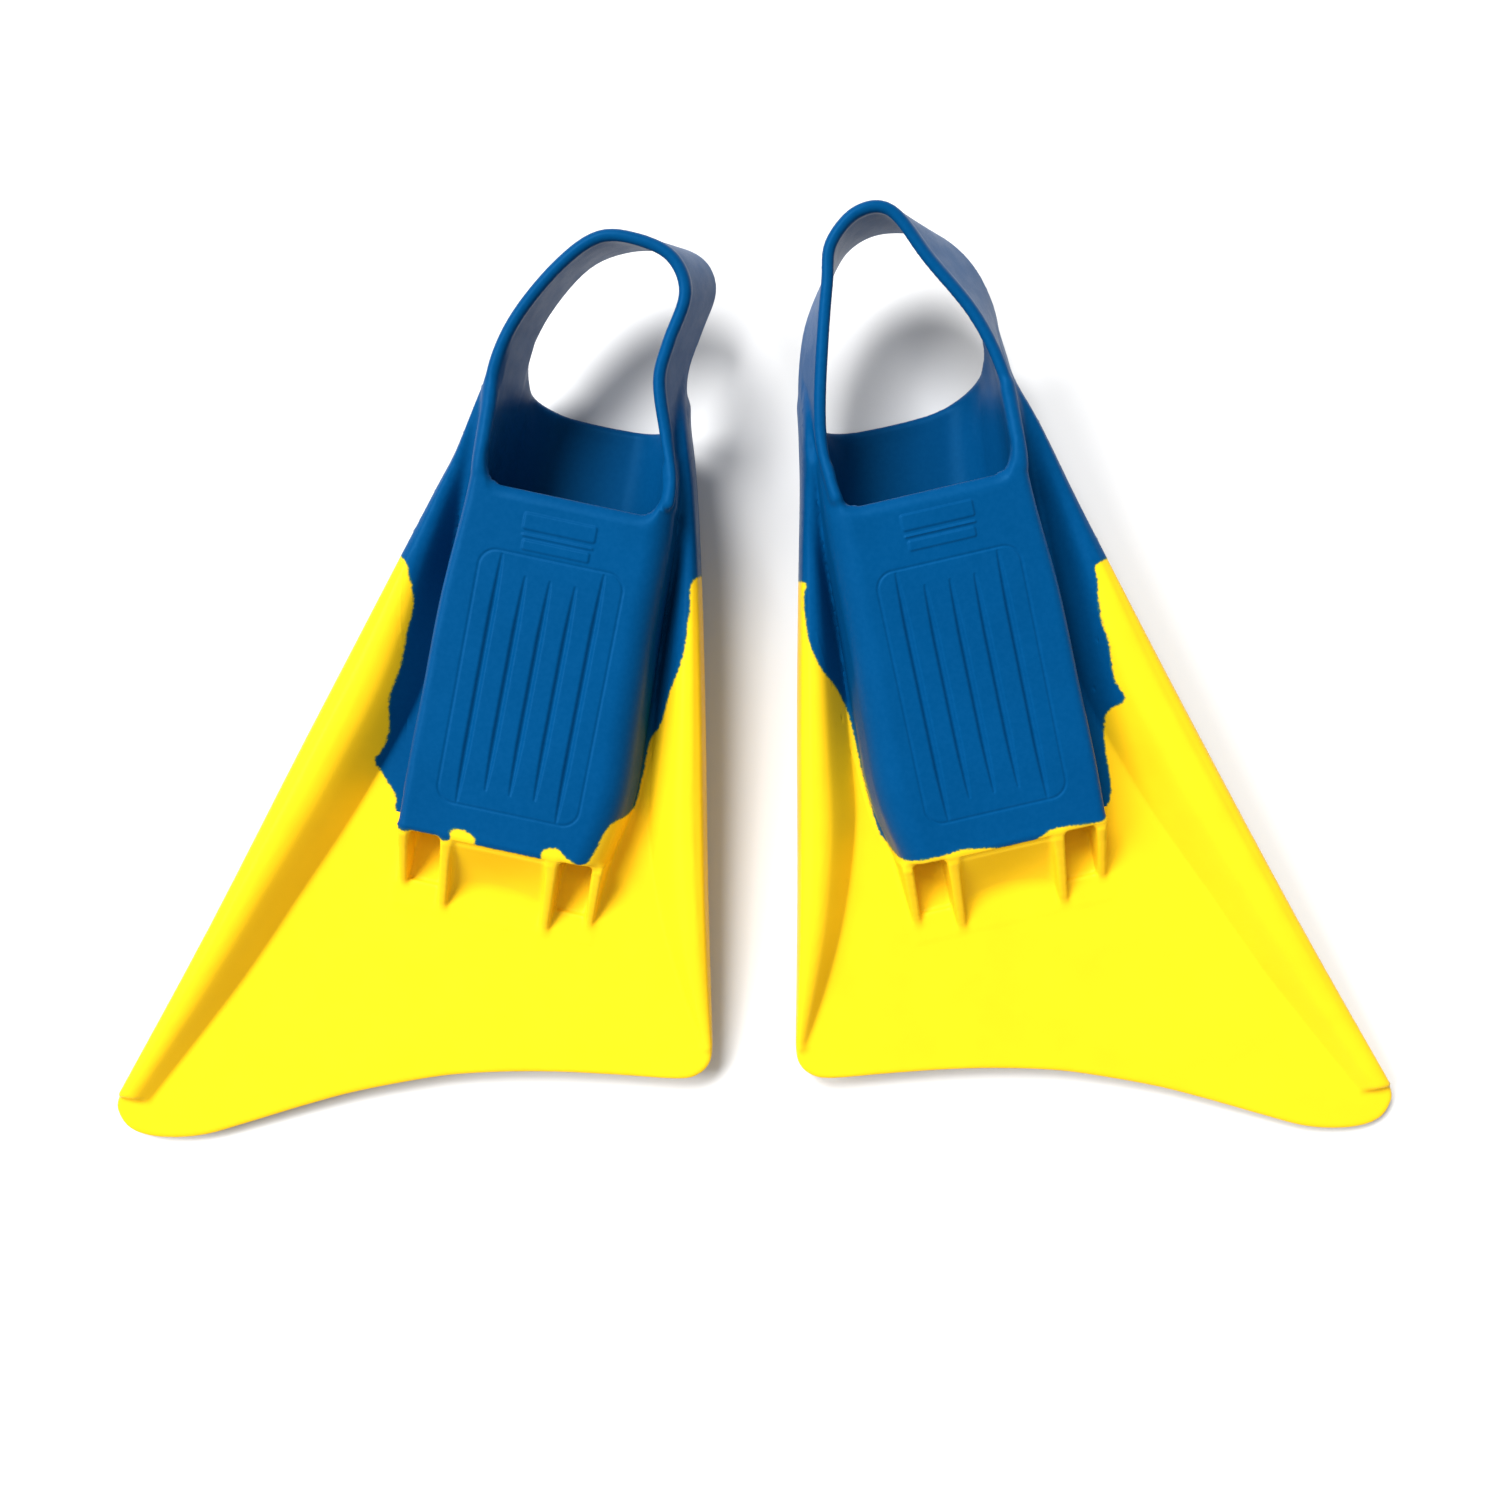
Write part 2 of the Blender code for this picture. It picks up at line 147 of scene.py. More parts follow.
# The blade's outline, from the outer root round the tip to the inner root.
OUTER_EDGE = {
    "left": (
        (34, 207), (37, 196), (40, 183), (46.6, 156),
        (56, 128), (85, 32), (111.5, -57), (138.5, -139),
    ),
    "right": (
        (40, 207), (41.8, 196), (43, 183), (50.4, 156),
        (58, 128), (85, 32), (111.5, -57), (138.5, -139),
    ),
}
TIP_CURVE = ((139, -146), (133.5, -153), (125, -155.3), (113, -154), (99, -149.5))
TRAILING_EDGE = (
    (82, -140.3), (61, -128.5), (42, -118.5), (21, -109.2), (2, -101.8),
    (-20, -95.6), (-43, -90.6), (-68, -86.5), (-93.5, -82.6),
)
INNER_CORNER = ((-101.6, -78.6), (-105, -72.5), (-104.4, -65))
INNER_EDGE = {
    "left": (
        (-104.4, -65), (-90, -5), (-74, 66), (-62, 117),
        (-51, 160), (-44.4, 180), (-38.5, 196), (-33, 207),
    ),
    "right": (
        (-104.4, -65), (-90, -5), (-74, 66), (-62, 117),
        (-51.5, 160), (-47.5, 179), (-43, 196), (-38, 207),
    ),
}

# The web: half its thickness, how round its edge is, and how much steeper than a plain distance the
# blade's field is on the rails' slopes.
WEB_HALF = 2
EDGE_ROUND = 1.4
SLOPE_STEEPNESS = 1.12

# Rails: v, width in from the blade's edge, top, bottom, and the level of the web or valley beside them.
OUTER_RAIL = (
    (-138, 14, 7.5, -5.5, 2),
    (-82, 23, 13.5, -5, 2),
    (-40, 27.5, 17, -5, 2),
    (10, 33, 19, -5, 2),
    (60, 33, 19, -5.5, 2),
    (107, 20.5, 18, -6, 4),
    (130, 14.5, 17.5, -6.5, 9),
)
OUTER_RAIL_HEEL = {
    "left": ((150, 10, 20, -7, 17), (170, 6.5, 25, -7, 24), (190, 5, 27, -7, 27), (207, 4, 27, -7, 27)),
    "right": ((150, 11, 19, -7, 16), (170, 8, 19, -7, 20), (190, 6, 9, -7, 14), (207, 5, -3, -7, -3)),
}
INNER_RAIL = (
    (-66, 5, 3.5, -3, 2),
    (-40, 14, 10, -4.5, 2),
    (-12, 21, 14, -5, 2),
    (24, 25, 16, -5, 2),
    (60, 22, 17, -5.5, 2),
    (97, 18, 17, -6, 2),
    (134, 13, 17, -6.5, 4),
)
INNER_RAIL_HEEL = {
    "left": ((158, 9, 19, -7, 8), (175, 8, 19.5, -7, 13), (190, 7, 12, -7, 11), (207, 5, -3, -7, -3)),
    "right": ((158, 9, 19.5, -7, 8), (175, 8, 22, -7, 14), (190, 7, 18, -7, 17), (207, 5, -1, -7, -1)),
}

# A rail's section, by share of its width in from the edge: how much of its height the outer side has
# reached, and how much is left on the inner slope.
RAIL_RISE = ((0, 0.5), (0.05, 0.8), (0.16, 0.93), (0.3, 1), (1, 1))
RAIL_FALL = ((0, 1), (0.3, 1), (0.42, 0.975), (0.54, 0.88), (0.65, 0.7), (0.8, 0.4), (1, 0))

# How far a rail takes to grow at its tip, above the web and below it, and the hump on its underside: how
# far through the hump the blade's edge is, and how square the hump is.
RAIL_GROWTH = 4
HUMP_GROWTH = 6
HUMP_AT_EDGE = 0.2
HUMP_POWER = 0.8

# Ribs in front of the toe wall: u at the wall, thickness, v of the tip, height at the wall. Each is
# thinner at its tip, by this share, and leans out on its way down.
DRAIN_RIBS = ((37, 4, -25, 24), (19, 4.5, -32, 24.5), (-25, 4.5, -33, 24.5), (-43, 5, -27, 19))
RIB_TIP_SHARE = 0.3
RIB_LEAN = 0.05
RIB_ROUND = 1.0
RIB_END_V = 3
RIB_FILLET = 1.5

# The scooped ramp between the two middle ribs: its reach at its middle and beside the ribs, the height
# that it starts at and how much it rises, how hollow and about how steep it is, and its ends.
RAMP_REACH = (25, 32)
RAMP_FOOT_W = -0.2
RAMP_RISE = 23
RAMP_HOLLOW = 1.6
RAMP_STEEPNESS = 1.6
RAMP_V = (-33, 3)
RAMP_FILLET = 2

# The drain windows through the toe wall: where they lie across and along, the height of their floors at
# the front, how much those rise to the wall, and their tops; then how round corners, sills and rims are.
DRAIN_BOXES = ((21.5, 35), (-41, -27.5))
DRAIN_V = (-22, 8)
DRAIN_FLOOR = 0.6
DRAIN_RISE = 8
DRAIN_TOP = 19
DRAIN_CORNER_ROUND = 1
DRAIN_SILL_ROUND = 0.8
DRAIN_RIM_ROUND = 0.6

# The fillet between the blade and the pocket, which gets wider along v.
BLADE_FILLET = (3, 6)
BLADE_FILLET_V = (110, 150)

# The middle lines of the strap's two rims, from the outer root over the heel to the inner root.
STRAP_NEAR_W = 30
STRAP_FAR_W = -8
STRAP_NEAR = {
    "left": (
        (33, 150), (34.6, 172), (35.4, 192), (30.2, 212), (18, 234), (5, 247.5), (-10.5, 249.5),
        (-24.5, 245.5), (-32.2, 233), (-29.5, 213), (-29, 198), (-36, 178), (-41.5, 163),
        (-43, 152),
    ),
    "right": (
        (34, 150), (35.3, 170), (34.2, 190), (28, 212), (15.3, 236), (5, 257), (-8, 259.5),
        (-20.5, 250), (-25, 236), (-31, 216.5), (-38.2, 190), (-41, 172), (-40, 154),
    ),
}
STRAP_FAR = {
    "left": (
        (36, 150), (33.2, 176), (30.6, 197), (24.5, 219.5), (12, 241), (-4, 251.3), (-21, 254.3),
        (-34, 251.5), (-40.2, 241.5), (-38, 225), (-35.7, 208), (-38.2, 192), (-44, 172), (-46, 150),
    ),
    "right": (
        (37.5, 150), (39.7, 176), (41.3, 197), (42, 217), (36.5, 236), (23.5, 250.3), (5, 256),
        (-10, 252.7), (-21, 242), (-33, 225), (-40, 206), (-43, 190), (-45, 172), (-46, 150),
    ),
}

# The strap's band: half its thickness at the near and the far rim, how far it stops short of the near
# rim's level, and its roundness. The bead on the near rim grows over BEAD_START_V. Nearer the toe than
# STRAP_FROM_V the strap makes no difference.
BAND_HALF = (1.7, 1.6)
BAND_GAP = 1.5
BAND_ROUND = 1.3
BEAD_RADIUS = 2.1
BEAD_START_V = (140, 156)
BEAD_FILLET = 2
STRAP_FILLET = 3
STRAP_FROM_V = 138

# The sole's moulded lines: a panel outline, five grooves that end in points, and plain bars. A groove
# has its u and its two ends, and a bar its place from BARS_V, its length and its thickness. Of two
# values for a groove the first is at its end and the second past its point.
PANEL_U = (-32, 26)
PANEL_V = (17.5, 121)
PANEL_CORNER = 7
PANEL_LINE = (0.1, 0.8)
PANEL_DEPTH = 0.35
GROOVES = ((17.4, 18, 120), (6.8, 25, 113), (-3.2, 25, 113), (-13.4, 25, 113), (-23.6, 18, 120))
GROOVE_POINT = 22
GROOVE_BED = 0.15
GROOVE_HALF = (0.4, 1.9)
GROOVE_DEPTH = (0.25, 1.2)
BARS_V = {"left": 130, "right": 134}
BARS = ((4.3, 29, 6.5), (-1.2, 29, 1), (-5, 27, 4))
BAR_CORNER = 0.8
BAR_EDGE = (-0.4, 0.3)
BAR_HEIGHT = 0.6

# The stretch of the sole that these lines are in, and how near to the sole's plane is on it.
DETAIL_U = (-34, 28)
DETAIL_V = (14, 143)
ON_PLANE = 0.15

# Where the blue compound ends: points round its front, from the outer edge to the inner edge.
COLOUR_EDGE = {
    "left": (
        (90, 111), (61, 110), (55, 103), (51.6, 92), (52.2, 80), (52.6, 65), (54.8, 52), (53.5, 38),
        (55, 30), (57.2, 24.5), (54, 19.5), (46.5, 11), (43, 1.5), (19, 1.5), (18, 6), (13, 7.5),
        (7, 5), (5.5, 1.5), (-18, 1.5), (-20.5, 6), (-26, 8), (-31, 4.8), (-38.3, 3.4), (-43, 17),
        (-45.5, 22.5), (-51.5, 27), (-52.5, 42), (-52.5, 56), (-55.6, 64), (-57, 79), (-59.5, 94),
        (-58.5, 112), (-59.3, 127), (-90, 129),
    ),
    "right": (
        (90, 106), (60, 106), (56.5, 98), (55.2, 84), (56.3, 73), (56, 58), (58.6, 48.5), (52, 44),
        (49.3, 32), (48, 12), (44, 4), (40, 5.5), (36, 3.6), (18, 5.3), (11, 3), (8, 1.5), (-2, 1.5),
        (-11.6, 3.8), (-21.6, 5.3), (-28, 4.7), (-43.7, 5.2), (-48, 11), (-50.5, 18), (-51.8, 40),
        (-51.8, 64), (-54.5, 78), (-60, 90), (-62, 102), (-60.5, 117), (-60, 125), (-90, 126),
    ),
}

# How far back, and how far short of the sole, the yellow compound goes on the toe wall's front.
YELLOW_FRONT = 1

# Where the skin is parted: just in front of the toe wall, then just outside the pocket's walls.
PARTING = (
    (100, 124), (67, 112), (58, 104), (55.5, 86), (50, 60), (47, 36), (46, 2.5),
    (-53, 2.5), (-54, 45), (-57, 80), (-58.5, 104), (-67, 112), (-100, 124),
)
PAST_HEEL_V = 300

# ---------------------------------------------------------------- curves and fields


def smooth_line(points, steps=6):
    """A Catmull-Rom curve through the points, with this many pieces between two of them."""
    knots = np.array([points[0], *points, points[-1]], float)
    share = np.arange(steps)[:, None] / steps
    line = []
    for p, q, r, s in zip(knots, knots[1:], knots[2:], knots[3:]):
        bend = 2 * q + (r - p) * share + (2 * p - 5 * q + 4 * r - s) * share**2
        line.append(0.5 * (bend + (3 * q - p - 3 * r + s) * share**3))
    line.append(knots[-1:])
    return np.concatenate(line)


def column(table, index, v):
    """One column of a table whose first column is v, read off smoothly at v."""
    line = smooth_line(table, 8)
    order = np.argsort(line[:, 0])
    return np.interp(v, line[order, 0], line[order, index])


def round_max(a, b, radius):
    """What two solids share, with the corner between them rounded off."""
    corner = np.hypot(np.maximum(a + radius, 0), np.maximum(b + radius, 0))
    return np.minimum(np.maximum(a, b), -radius) + corner


def round_min(a, b, radius):
    """Two solids joined, with a fillet between them."""
    corner = np.hypot(np.maximum(radius - a, 0), np.maximum(radius - b, 0))
    return np.maximum(np.minimum(a, b), radius) - corner


def ease(value, low, high):
    """A smooth step, 0 up to the low end and 1 from the high end on."""
    share = np.clip((value - low) / (high - low), 0, 1)
    return share * share * (3 - 2 * share)


def between(ends, share):
    """What lies this share of the way from the first of two values to the second."""
    return ends[0] + (ends[1] - ends[0]) * share


def outside(value, low, high):
    """How far a value is outside a range, negative inside it."""
    return np.maximum(low - value, value - high)


def line_distance(u, v, line):
    """Distance from each (u, v) to an open line."""
    nearest = np.full(np.broadcast(u, v).shape, np.inf)
    for (u0, v0), (u1, v1) in zip(line, line[1:]):
        du, dv = u1 - u0, v1 - v0
        share = np.clip(((u - u0) * du + (v - v0) * dv) / (du * du + dv * dv), 0, 1)
        nearest = np.minimum(nearest, np.hypot(u - u0 - share * du, v - v0 - share * dv))
    return nearest


def outline_distance(u, v, outline):
    """Signed distance from each (u, v) to a closed outline, negative inside it."""
    closed = [*outline, outline[0]]
    inside = np.zeros(np.broadcast(u, v).shape, bool)
    for (u0, v0), (u1, v1) in zip(closed, closed[1:]):
        if v0 != v1:
            crossing = (v < v0) != (v < v1)
            inside ^= crossing & (u < u0 + (v - v0) * (u1 - u0) / (v1 - v0))
    return line_distance(u, v, closed) * np.where(inside, -1, 1)


class PlanMap:
    """A function of (u, v), worked out once on a fine grid and read off between its points."""

    def __init__(self, function):
        self.low = np.array(GRID_LOW[:2], float) - MAP_MARGIN
        high = np.array(GRID_HIGH[:2], float) + MAP_MARGIN
        across = np.arange(self.low[0], high[0], MAP_STEP)
        along = np.arange(self.low[1], high[1], MAP_STEP)
        self.values = function(across[:, None], along[None, :])

    def __call__(self, u, v):
        shape = np.broadcast(u, v).shape
        a = (np.broadcast_to(u, shape) - self.low[0]) / MAP_STEP
        b = (np.broadcast_to(v, shape) - self.low[1]) / MAP_STEP
        i = np.clip(a.astype(int), 0, self.values.shape[0] - 2)
        j = np.clip(b.astype(int), 0, self.values.shape[1] - 2)
        a, b = a - i, b - j
        near = self.values[i, j] * (1 - a) + self.values[i + 1, j] * a
        far = self.values[i, j + 1] * (1 - a) + self.values[i + 1, j + 1] * a
        return near * (1 - b) + far * b


# ---------------------------------------------------------------- the blade


def blade_outline(name):
    """The blade's edge in plan: outer edge, tip, trailing edge, inner corner and inner edge."""
    rim = smooth_line((OUTER_EDGE[name][-1], *TIP_CURVE, *TRAILING_EDGE, *INNER_CORNER), 5)
    return [*smooth_line(OUTER_EDGE[name], 4)[:-1], *rim, *smooth_line(INNER_EDGE[name], 4)[1:]]


def rail_share(u, v, edge, table, sign):
    """How far in from the blade's edge a point is, as a share of the rail's width."""
    line = smooth_line(edge, 4)
    order = np.argsort(line[:, 1])
    at = np.interp(v, line[order, 1], line[order, 0])
    return (at - u) * sign / column(table, 1, v)


def along_line(points, share):
    """A rail's section read off smoothly at a share of its width."""
    line = smooth_line(points, 5)
    return np.interp(share, line[:, 0], line[:, 1])


def rail_height(u, v, edge, table, sign):
    """Height of a rail's top, which falls to the web or valley beside it."""
    share = rail_share(u, v, edge, table, sign)
    crest, valley = column(table, 2, v), column(table, 4, v)
    slope = (crest - valley) * along_line(RAIL_FALL, share)
    outer_drop = (crest - WEB_HALF) * (1 - along_line(RAIL_RISE, share))
    tip_v = table[0][0]
    return valley + (slope - outer_drop) * ease(v, tip_v - RAIL_GROWTH, tip_v)


def rail_depth(u, v, edge, table, sign):
    """How far a rail's underside stands below the web's."""
    share = np.clip(rail_share(u, v, edge, table, sign), 0, 1)
    depth = np.maximum(-column(table, 3, v) - WEB_HALF, 0)
    through = np.clip(share * (1 - HUMP_AT_EDGE) + HUMP_AT_EDGE, 0, 1)
    tip_v = table[0][0]
    return depth * np.sin(math.pi * through) ** HUMP_POWER * ease(v, tip_v - HUMP_GROWTH, tip_v)


def rail_tables(name):
    return (*OUTER_RAIL, *OUTER_RAIL_HEEL[name]), (*INNER_RAIL, *INNER_RAIL_HEEL[name])


def blade_top(name, u, v):
    outer_table, inner_table = rail_tables(name)
    outer = rail_height(u, v, OUTER_EDGE[name], outer_table, 1)
    inner = rail_height(u, v, INNER_EDGE[name], inner_table, -1)
    return np.where(u > 0, outer, inner)


def blade_bottom(name, u, v):
    outer_table, inner_table = rail_tables(name)
    outer = rail_depth(u, v, OUTER_EDGE[name], outer_table, 1)
    inner = rail_depth(u, v, INNER_EDGE[name], inner_table, -1)
    return -WEB_HALF - np.maximum(outer, inner)


def rib_field(u, v, w, rib):
    """A rib that slopes down to the web from the toe wall."""
    at, thick, tip, height = rib
    taper = between((RIB_TIP_SHARE, 1), np.clip(1 - v / tip, 0, 1))
    half = thick / 2 * taper + RIB_LEAN * (height - w)
    slope = (height - WEB_HALF) / -tip
    top = (w - WEB_HALF - slope * (v - tip)) / math.hypot(1, slope)
    body = round_max(np.abs(u - at) - half, np.maximum(top, w - height), RIB_ROUND)
    return np.maximum(np.maximum(body, v - RIB_END_V), -w)


def ramp_field(u, v, w):
    """The scooped sheet between the two middle ribs, with an arched foot on the web."""
    outer, inner = DRAIN_RIBS[1][0], DRAIN_RIBS[2][0]
    middle, half = (outer + inner) / 2, (outer - inner) / 2
    reach = between(RAMP_REACH, ((u - middle) / half) ** 2)
    rise = np.clip((v + reach) / reach, 0, 1)
    top = (w - RAMP_FOOT_W - RAMP_RISE * rise**RAMP_HOLLOW) / np.hypot(1, RAMP_STEEPNESS * rise)
    plan = np.maximum(outside(u, inner, outer), outside(v, *RAMP_V))
    return np.maximum(np.maximum(top, plan), -w)


def drain_field(u, v, w, box):
    """A drain window, whose floor rises into the toe wall."""
    start_v = DRAIN_V[0]
    rise = np.clip((v - start_v) / (SOLE_TOE_V - start_v), 0, 1)
    plan = round_max(outside(u, *box), outside(v, *DRAIN_V), DRAIN_CORNER_ROUND)
    upright = outside(w, DRAIN_FLOOR + DRAIN_RISE * rise**3, DRAIN_TOP)
    return round_max(plan, upright, DRAIN_SILL_ROUND)


# ---------------------------------------------------------------- the foot pocket


def sole_plane(v):
    return SOLE_AT_TOE + SOLE_RISE * v


def sole_top(v):
    """Height of the sole's outer face, and past the lip the height of the opening's rim."""
    plane = sole_plane(v)
    return plane + (RIM_TOP - plane) * ease(v, *RIM_RUN_V)


def pocket_sides(name, u, v, w):
    """Distances outside the pocket's outer and inner sides, which lean in above and below the web."""
    sections = (*POCKET_SECTIONS, HEEL_SECTION[name])
    v_in = np.clip(v, 0, sections[-1][0])
    sole_out, foot_in, foot_out, instep_in, instep_out, instep_w, lean = (
        column(sections, index, v_in) for index in range(1, 8)
    )
    rise, drop = w / sole_top(v_in), w / -instep_w
    outer_wall = u - foot_out + (foot_out - sole_out) * rise
    outer_below = u - foot_out - (foot_out - instep_out + INSTEP_TUCK) * drop
    inner_wall = foot_in - u + lean * rise
    inner_below = foot_in - u - (instep_in - foot_in + INSTEP_TUCK) * drop
    below_slope = np.hypot(1, (foot_out - instep_out) / instep_w)
    outer = round_max(outer_wall, outer_below / below_slope, FLANK_ROUND)
    inner = round_max(inner_wall, inner_below / below_slope, FLANK_ROUND)
    return outer, inner, instep_w


def heel_end(u, v, w):
    """Where the walls end at the heel: the instep's bowed edge, with ears that run up to the strap."""
    outer_side = ease(u, *HEEL_SIDES_U)
    from_middle = np.clip(np.abs(u - HEEL_MIDDLE_U) / HEEL_HALF, 0, 1)
    lift = np.clip(w - (STRAP_FAR_W - EAR_HEIGHT), 0, EAR_HEIGHT) / EAR_HEIGHT
    bow = between(HEEL_BOW, outer_side) * from_middle**3
    ear = between(EAR_REACH, outer_side) * (1 - np.sqrt(1 - lift**2))
    return v - HEEL_EDGE_V - bow - ear + HEEL_DRAW * ease(w, STRAP_FAR_W + 2, STRAP_NEAR_W)


def pocket_section(roof, outer, inner, floor, rounds):
    """The long tube that the pocket is outside and inside, each edge with its own roundness."""
    for side, radius in zip((outer, inner, floor), rounds):
        roof = round_max(roof, side, radius)
    return roof


def pocket_solid(v, w, sides):
    """The pocket without its hollow: a toe wall stands on the web, and a fairing lies under it."""
    outer, inner, instep_w = sides
    solid = pocket_section(w - sole_top(v), outer, inner, instep_w - w, POCKET_ROUND)
    (at_v, at_w), (run_v, run_w) = FAIRING_AT, FAIRING_RUN
    fairing = (run_w * (v - at_v) - run_v * (w - at_w)) / math.hypot(run_v, run_w)
    solid = round_max(solid, fairing, FAIRING_ROUND)
    above = round_max(solid, SOLE_TOE_V - v, TOE_EDGE_ROUND)
    below = np.maximum(np.maximum(solid, w), FAIRING_END_V - v)
    return np.minimum(above, below)


def pocket_cavity(v, w, sides):
    """The hollow for the foot, which ends at the toe wall."""
    outer, inner, instep_w = sides
    roof = w - sole_top(v) + SOLE_THICK
    floor = instep_w + INSTEP_THICK - w
    cavity = pocket_section(roof, outer + WALL, inner + WALL, floor, CAVITY_ROUND)
    return round_max(cavity, TOE_WALL - v, TOE_CAVITY_ROUND)


def pocket_mouth(lip_v, v, w, sides):
    """The opening in the sole behind its lip, with round corners in plan."""
    outer, inner, _ = sides
    walls = round_max(outer + WALL, inner + WALL, MOUTH_WALL_ROUND)
    return np.maximum(round_max(walls, lip_v - v, MOUTH_CORNER_ROUND), -w)


# ---------------------------------------------------------------- the whole fin


def closed_past_heel(line):
    """A line across the fin, made into an outline that goes round past the heel."""
    return [*line, (line[-1][0], PAST_HEEL_V), (line[0][0], PAST_HEEL_V)]


class FinShape:
    """One fin's solid as a field of (u, v, w), negative inside."""

    def __init__(self, name):
        self.name = name
        outline = blade_outline(name)
        parting = closed_past_heel(PARTING)
        blue = closed_past_heel(smooth_line(COLOUR_EDGE[name], 4))
        self.near = smooth_line(STRAP_NEAR[name])
        self.far = smooth_line(STRAP_FAR[name])
        self.outline = PlanMap(lambda u, v: outline_distance(u, v, outline))
        self.top = PlanMap(lambda u, v: blade_top(name, u, v))
        self.bottom = PlanMap(lambda u, v: blade_bottom(name, u, v))
        self.parting = PlanMap(lambda u, v: outline_distance(u, v, parting))
        self.colour_map = PlanMap(lambda u, v: outline_distance(u, v, blue))

    def blade(self, u, v, w):
        """The web and its rails, with the drain ribs and the ramp."""
        sheet = outside(w, self.bottom(u, v), self.top(u, v)) / SLOPE_STEEPNESS
        solid = round_max(sheet, self.outline(u, v), EDGE_ROUND)
        for rib in DRAIN_RIBS:
            solid = round_min(solid, rib_field(u, v, w, rib), RIB_FILLET)
        return round_min(solid, ramp_field(u, v, w), RAMP_FILLET)

    def opened(self, solid, v, w, sides):
        """The solid with the foot's opening cut into it, rounder on the lip than on the rim."""
        lip_v = SOLE_LIP_V[self.name]
        behind_lip = ease(v, lip_v, lip_v + RIM_BEHIND_LIP)
        by_wall = 1 - ease(-np.maximum(sides[0], sides[1]), *RIM_FROM_WALL)
        radius = between((LIP_ROUND, RIM_ROUND), np.maximum(behind_lip, by_wall))
        return round_max(solid, -pocket_mouth(lip_v, v, w, sides), radius)

    def strap(self, u, v, w):
        """The band between the two rims, with a round bead along the rim nearer the sole."""
        share = np.clip((STRAP_NEAR_W - w) / (STRAP_NEAR_W - STRAP_FAR_W), 0, 1)
        line = [
            (between((near_u, far_u), share), between((near_v, far_v), share))
            for (near_u, near_v), (far_u, far_v) in zip(self.near, self.far)
        ]
        thickness = line_distance(u, v, line) - between(BAND_HALF, share)
        band = round_max(thickness, outside(w, STRAP_FAR_W, STRAP_NEAR_W - BAND_GAP), BAND_ROUND)
        from_bead = np.hypot(line_distance(u, v, self.near), w - sole_top(v) + BEAD_RADIUS)
        return round_min(band, from_bead - BEAD_RADIUS * ease(v, *BEAD_START_V), BEAD_FILLET)

    def with_strap(self, solid, u, v, w):
        """The strap only matters near the heel, so it is worked out only there."""
        near = np.broadcast_to(v > STRAP_FROM_V, solid.shape)
        spread = [np.broadcast_to(part, solid.shape)[near] for part in (u, v, w)]
        joined = solid.copy()
        joined[near] = round_min(solid[near], self.strap(*spread), STRAP_FILLET)
        return joined

    def __call__(self, u, v, w):
        sides = pocket_sides(self.name, u, v, w)
        cavity = pocket_cavity(v, w, sides)
        solid = round_max(pocket_solid(v, w, sides), -cavity, CAVITY_EDGE_ROUND)
        solid = round_max(solid, heel_end(u, v, w), HEEL_END_ROUND)
        fillet = between(BLADE_FILLET, ease(v, *BLADE_FILLET_V))
        solid = round_min(solid, self.blade(u, v, w), fillet)
        for box in DRAIN_BOXES:
            solid = round_max(solid, -drain_field(u, v, w, box), DRAIN_RIM_ROUND)
        solid = self.opened(solid, v, w, sides)
        return self.with_strap(np.maximum(solid, -cavity), u, v, w)

    def colour(self, u, v, w):
        """Distance into the yellow compound, which also reaches up the front of the toe wall."""
        front = np.where(v < SOLE_TOE_V + YELLOW_FRONT, SOLE_AT_TOE - YELLOW_FRONT - w, -np.inf)
        return np.maximum(self.colour_map(u, v), front)


def sole_detail(name, u, v):
    """How far the sole's face stands above its plane: panel line, grooves and bars."""
    panel = round_max(outside(u, *PANEL_U), outside(v, *PANEL_V), PANEL_CORNER)
    height = -PANEL_DEPTH * (1 - ease(np.abs(panel), *PANEL_LINE))
    for at, low, high in GROOVES:
        point = np.clip(-outside(v, low, high) / GROOVE_POINT, 0, 1)
        depth = between(GROOVE_DEPTH, point**0.6) * (point > 0)
        half = between(GROOVE_HALF, np.sqrt(point))
        height = np.minimum(height, -depth * (1 - ease(np.abs(u - at), GROOVE_BED, half)))
    for offset, length, thick in BARS:
        across = np.abs(u - sum(PANEL_U) / 2) - length / 2
        along = np.abs(v - BARS_V[name] - offset) - thick / 2
        height = height + BAR_HEIGHT * (1 - ease(round_max(across, along, BAR_CORNER), *BAR_EDGE))
    return height


# ---------------------------------------------------------------- from field to mesh

CORNERS = np.array([(i, j, k) for i in (0, 1) for j in (0, 1) for k in (0, 1)])
CELL_EDGES = [
    (a, b) for a in range(8) for b in range(a + 1, 8) if np.abs(CORNERS[a] - CORNERS[b]).sum() == 1
]


def mixed_cells(inside):
    """Cells of the grid whose eight corners are not all on one side."""
    parts = [
        inside[i : inside.shape[0] - 1 + i, j : inside.shape[1] - 1 + j, k : inside.shape[2] - 1 + k]
        for i, j, k in CORNERS
    ]
    count = sum(part.astype(np.uint8) for part in parts)
    return (count > 0) & (count < 8)


def corner_values(values, cells):
    return np.stack([values[tuple((cells + corner).T)] for corner in CORNERS], axis=1)


def crossing_point(cells, corners):
    """The mean of the points where a cell's edges cross the surface, in grid steps."""
    total = np.zeros((len(cells), 3))
    count = np.zeros(len(cells))
    for a, b in CELL_EDGES:
        start, end = corners[:, a], corners[:, b]
        crosses = (start < 0) != (end < 0)
        share = np.where(crosses, start / np.where(crosses, start - end, 1), 0)
        point = CORNERS[a] + share[:, None] * (CORNERS[b] - CORNERS[a])
        total += point * crosses[:, None]
        count += crosses
    return cells + total / np.maximum(count, 1)[:, None]


